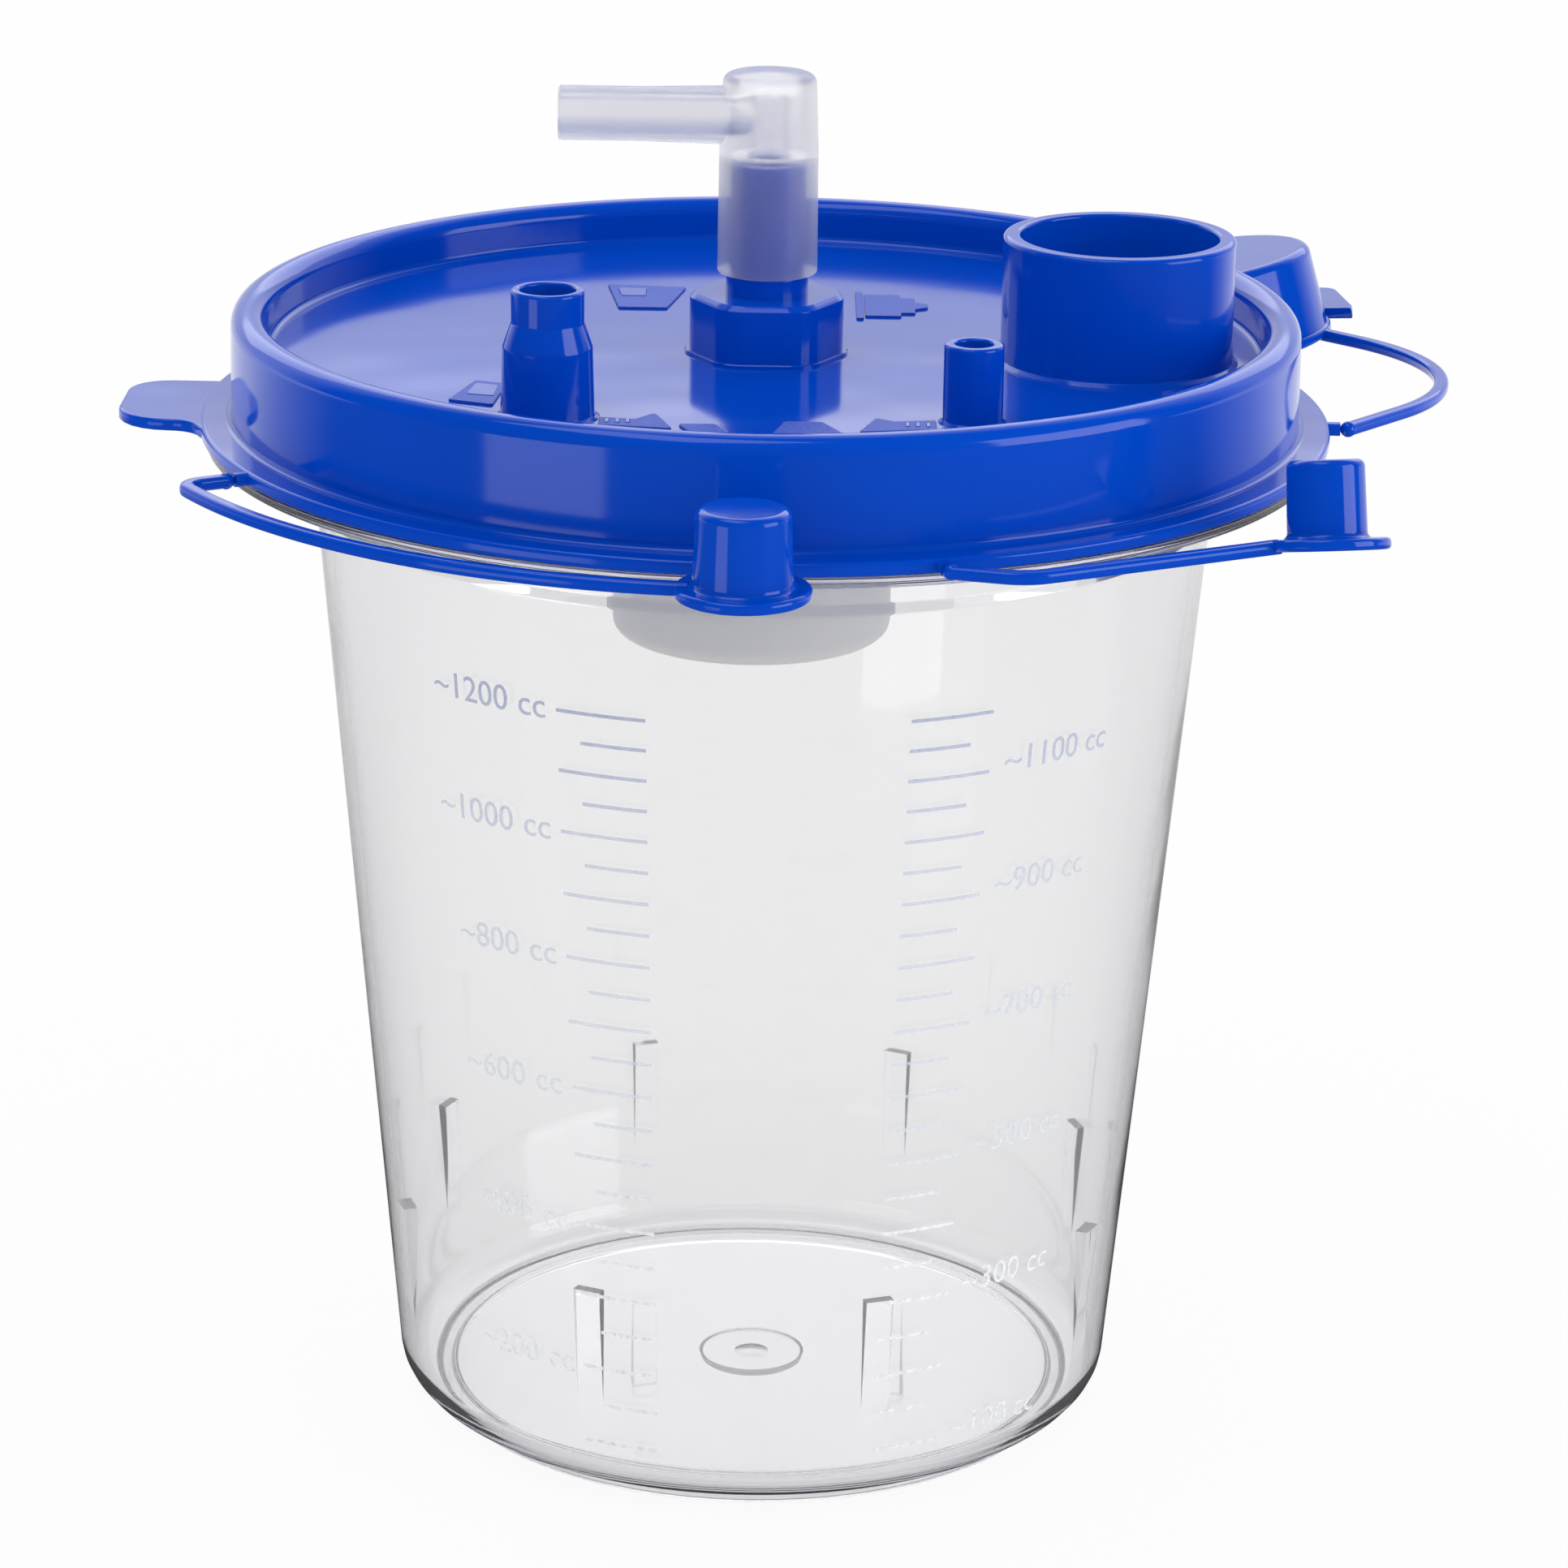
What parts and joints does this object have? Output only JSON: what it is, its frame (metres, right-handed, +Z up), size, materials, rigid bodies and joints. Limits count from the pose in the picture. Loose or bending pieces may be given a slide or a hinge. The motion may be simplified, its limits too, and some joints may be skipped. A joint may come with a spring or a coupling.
{
  "type": "suction canister",
  "caption": "Clear tapered ward suction canister with push-on blue lid, tube ports, swivel elbow, tethered port caps and a float shut-off valve.",
  "frame": {"origin": "centre of the foot ring, on the surface that the canister stands on", "axes": "+Z up along the cup's axis; -Y is the front, where the volume scale is; the lid's lift tab points to -X"},
  "size_m": [0.1936, 0.1966, 0.1982],
  "materials": {
    "clear_polystyrene": "clear moulded",
    "blue_polyethylene": "glossy moulded",
    "frosted_polypropylene": "frosted translucent",
    "natural_polypropylene": "natural satin",
    "filter_felt": "matt porous",
    "soft_rubber": "smooth"
  },
  "bodies": {
    "cup": {"cup": "clear_polystyrene"},
    "lid": {"lid": "blue_polyethylene", "float_housing": "natural_polypropylene", "filter_disc": "filter_felt", "seat_plate": "natural_polypropylene"},
    "elbow": {"elbow": "frosted_polypropylene"},
    "float": {"float": "natural_polypropylene", "valve_seal": "soft_rubber"},
    "ortho_cap": {"ortho_cap": "blue_polyethylene"},
    "patient_cap": {"patient_cap": "blue_polyethylene"},
    "tandem_cap": {"tandem_cap": "blue_polyethylene"}
  },
  "joints": [
    {"name": "lid_lift", "type": "slide", "parent": "cup", "child": "lid", "axis": [0, 0, 1], "range_m": [0, 0.06]},
    {"name": "elbow_swivel", "type": "hinge", "parent": "lid", "child": "elbow", "pos_m": [0, -0.00165, 0.16995], "axis": [0, 0, 1], "continuous": true},
    {"name": "float_rise", "type": "slide", "parent": "lid", "child": "float", "axis": [0, 0, 1], "range_m": [0, 0.0053]},
    {"name": "patient_cap_swing", "type": "hinge", "parent": "lid", "child": "patient_cap", "pos_m": [-0.07312, -0.0397, 0.1483], "axis": [-0.5776, -0.8163, 0], "range_deg": [-15, 40], "stiffness_Nm_per_rad": 0.03, "springref_deg": 1.43},
    {"name": "tandem_cap_swing", "type": "hinge", "parent": "lid", "child": "tandem_cap", "pos_m": [0.02432, -0.07956, 0.1483], "axis": [0.314, -0.9494, 0], "range_deg": [-15, 40], "stiffness_Nm_per_rad": 0.03, "springref_deg": 0.69},
    {"name": "ortho_cap_swing", "type": "hinge", "parent": "lid", "child": "ortho_cap", "pos_m": [0.08317, -0.00218, 0.1483], "axis": [0.9832, 0.1823, 0], "range_deg": [-10, 35], "stiffness_Nm_per_rad": 0.06, "springref_deg": 2.58}
  ]
}
